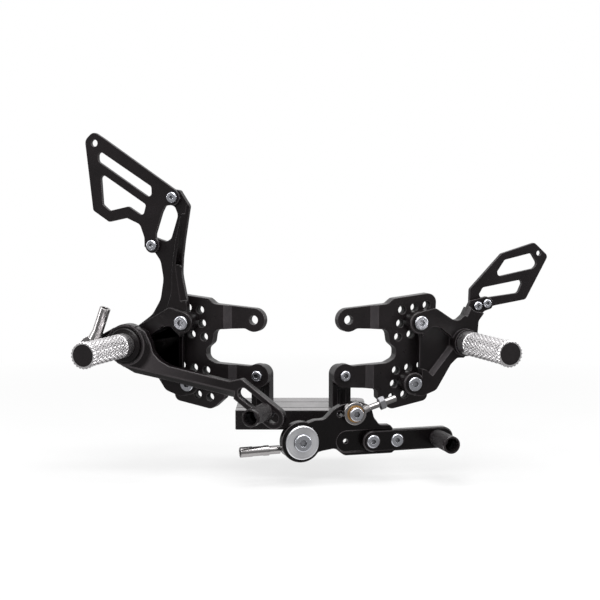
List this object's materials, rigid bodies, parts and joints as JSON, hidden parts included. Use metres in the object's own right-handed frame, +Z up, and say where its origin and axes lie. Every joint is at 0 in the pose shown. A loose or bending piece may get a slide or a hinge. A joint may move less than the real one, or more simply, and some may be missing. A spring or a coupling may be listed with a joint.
{
  "type": "motorcycle rear set footrests",
  "caption": "Adjustable rear set footrests on a cross block: drilled adapter plates, hangers with heel guards, knurled pegs, brake pedal and gear lever with linkage rods.",
  "frame": {"origin": "on the underside of the cross block, midway between its ends, under the front of the posts", "axes": "+X towards the gearchange side along the block, +Y from the footpegs' side to the back, +Z up"},
  "size_m": [0.4347, 0.1315, 0.2906],
  "materials": {
    "black_anodised": "satin black anodised",
    "bare_aluminium": "machined",
    "zinc_steel": "bright zinc",
    "rod_steel": "satin",
    "polished_ball": "polished",
    "bronze": "satin",
    "cap_plastic": "satin"
  },
  "bodies": {
    "frame": {"cross_block": "black_anodised", "post_screws": "zinc_steel", "left_post": "black_anodised", "right_post": "black_anodised", "left_eye_screw": "zinc_steel", "right_eye_screw": "zinc_steel", "left_adapter": "black_anodised", "right_adapter": "black_anodised", "left_spacers": "black_anodised", "right_spacers": "black_anodised", "left_hanger": "black_anodised", "right_hanger": "black_anodised", "left_hanger_bolts": "zinc_steel", "right_hanger_bolts": "zinc_steel", "left_heel_guard": "black_anodised", "right_heel_guard": "black_anodised", "left_guard_screws": "zinc_steel", "right_guard_screws": "zinc_steel", "left_peg": "bare_aluminium", "right_peg": "bare_aluminium", "left_peg_cap": "cap_plastic", "right_peg_cap": "cap_plastic", "left_peg_bolt": "zinc_steel", "right_peg_bolt": "zinc_steel", "peg_flange": "black_anodised", "pedal_sleeve": "zinc_steel", "pivot_bracket": "black_anodised", "bracket_screws": "zinc_steel", "pivot_sleeve": "zinc_steel", "pivot_washer": "bare_aluminium", "pivot_bolt": "zinc_steel"},
    "brake_pedal": {"brake_pedal": "black_anodised", "pedal_bush": "bronze", "brake_toe_peg": "black_anodised", "brake_toe_bolt": "zinc_steel", "brake_toe_nut": "zinc_steel", "brake_rod_ball": "polished_ball", "brake_rod_bolt": "zinc_steel", "brake_rod_nut": "zinc_steel"},
    "brake_rod": {"brake_rod": "rod_steel"},
    "gear_lever": {"gear_lever": "black_anodised", "lever_bush": "bronze", "lever_extension": "black_anodised", "extension_screws": "zinc_steel", "shift_toe_peg": "black_anodised", "shift_toe_bolt": "zinc_steel", "rod_end_bolt": "zinc_steel", "rod_end_ball": "polished_ball", "rod_end_nut": "zinc_steel", "crank_pin": "zinc_steel", "tie_ball": "polished_ball"},
    "linkage_rod_end": {"rod_end": "rod_steel", "rod_end_race": "bronze", "rod_end_lock_nut": "zinc_steel"},
    "tie_rod": {"tie_rod": "rod_steel"}
  },
  "joints": [
    {"name": "brake_pedal_hinge", "type": "hinge", "parent": "frame", "child": "brake_pedal", "pos_m": [-0.15862, 0.01128, 0.075], "axis": [0.342, 0.9397, 0], "range_deg": [0, 5], "stiffness_Nm_per_rad": 8, "springref_deg": -3.44},
    {"name": "brake_rod_swivel", "type": "hinge", "parent": "brake_pedal", "child": "brake_rod", "pos_m": [-0.19089, 0.01121, 0.0714], "axis": [-0.342, -0.9397, 0], "range_deg": [-20, 20]},
    {"name": "gear_lever_hinge", "type": "hinge", "parent": "frame", "child": "gear_lever", "pos_m": [-0.0006, -0.038, -0.0048], "axis": [0.2756, -0.9613, 0], "range_deg": [-7, 7], "stiffness_Nm_per_rad": 3},
    {"name": "rod_end_swivel", "type": "hinge", "parent": "gear_lever", "child": "linkage_rod_end", "pos_m": [0.04709, -0.03452, 0.0196], "axis": [0.2756, -0.9613, 0], "range_deg": [-20, 20]},
    {"name": "tie_rod_swivel", "type": "hinge", "parent": "gear_lever", "child": "tie_rod", "pos_m": [-0.01223, -0.03228, -0.0127], "axis": [0.2756, -0.9613, 0], "range_deg": [-12, 12]}
  ]
}
